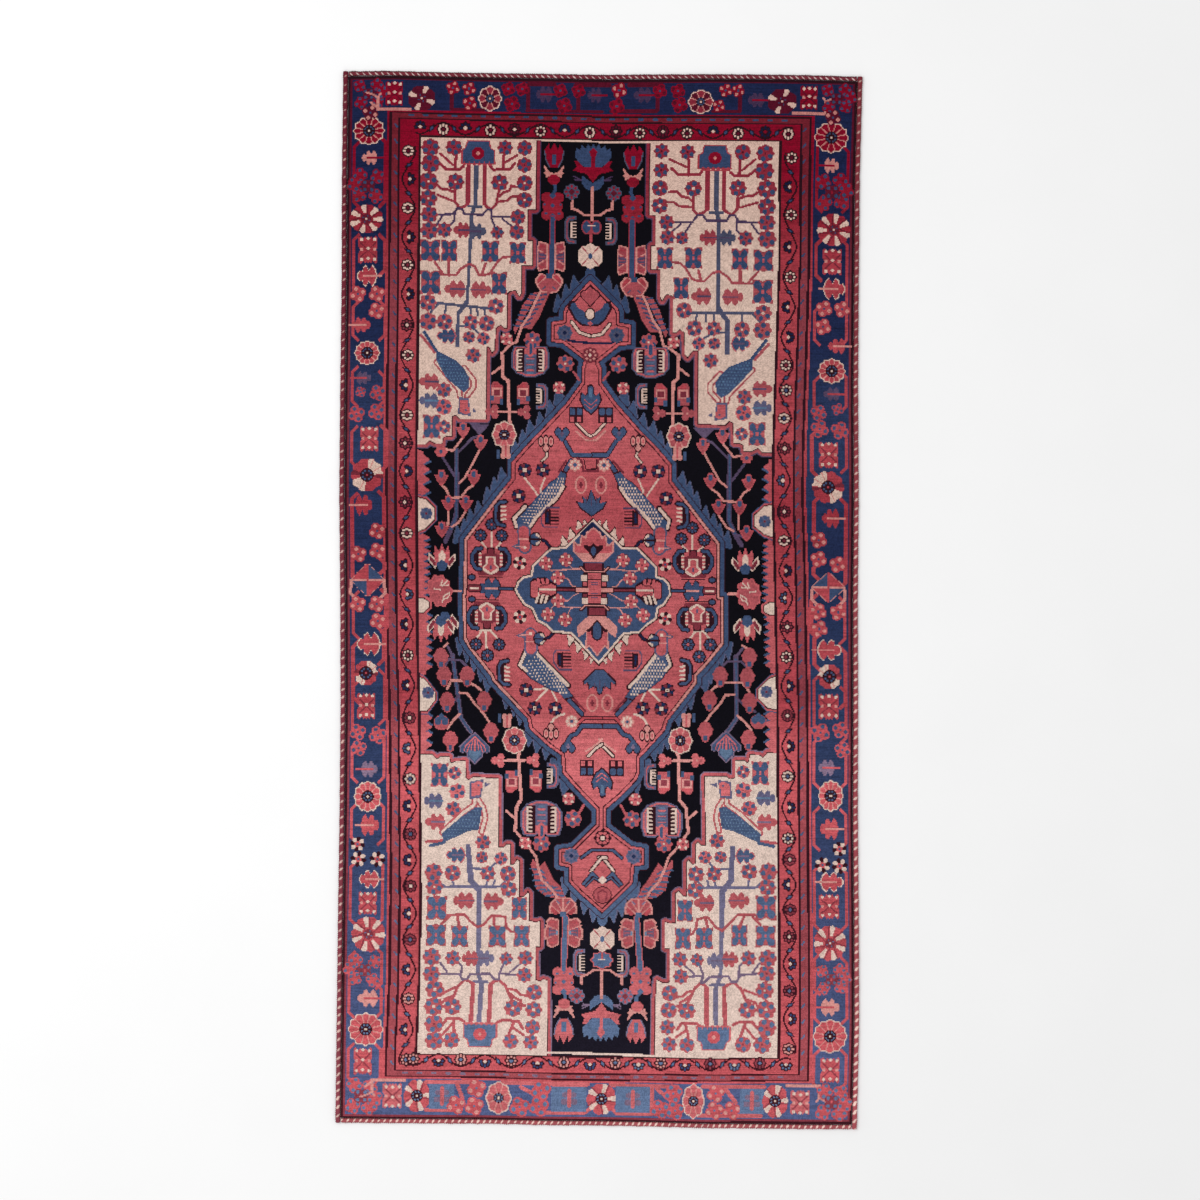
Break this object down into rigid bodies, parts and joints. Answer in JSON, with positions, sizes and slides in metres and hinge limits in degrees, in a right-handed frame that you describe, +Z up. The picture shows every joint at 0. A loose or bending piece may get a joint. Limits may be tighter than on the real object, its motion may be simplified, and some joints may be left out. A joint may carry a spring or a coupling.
{
  "type": "hand-knotted pile rug",
  "caption": "Long rectangular hand-knotted wool pile rug lying flat, with overcast side cords, twined end cords and a medallion, corner and border pattern.",
  "frame": {"origin": "bottom centre of the rug's box: z = 0 is the floor it lies on", "axes": "+Z up out of the pile, +Y along the rug towards its far end, +X to the right seen from above"},
  "size_m": [1.5832, 3.174, 0.011],
  "materials": {
    "pile": "wool pile, red ground",
    "cord_wool": "twisted wool, wine red with pale flecks"
  },
  "bodies": {
    "root": {"body": "pile", "left_side_cord": "cord_wool", "right_side_cord": "cord_wool", "far_end_cord": "cord_wool", "near_end_cord": "cord_wool"}
  },
  "joints": []
}
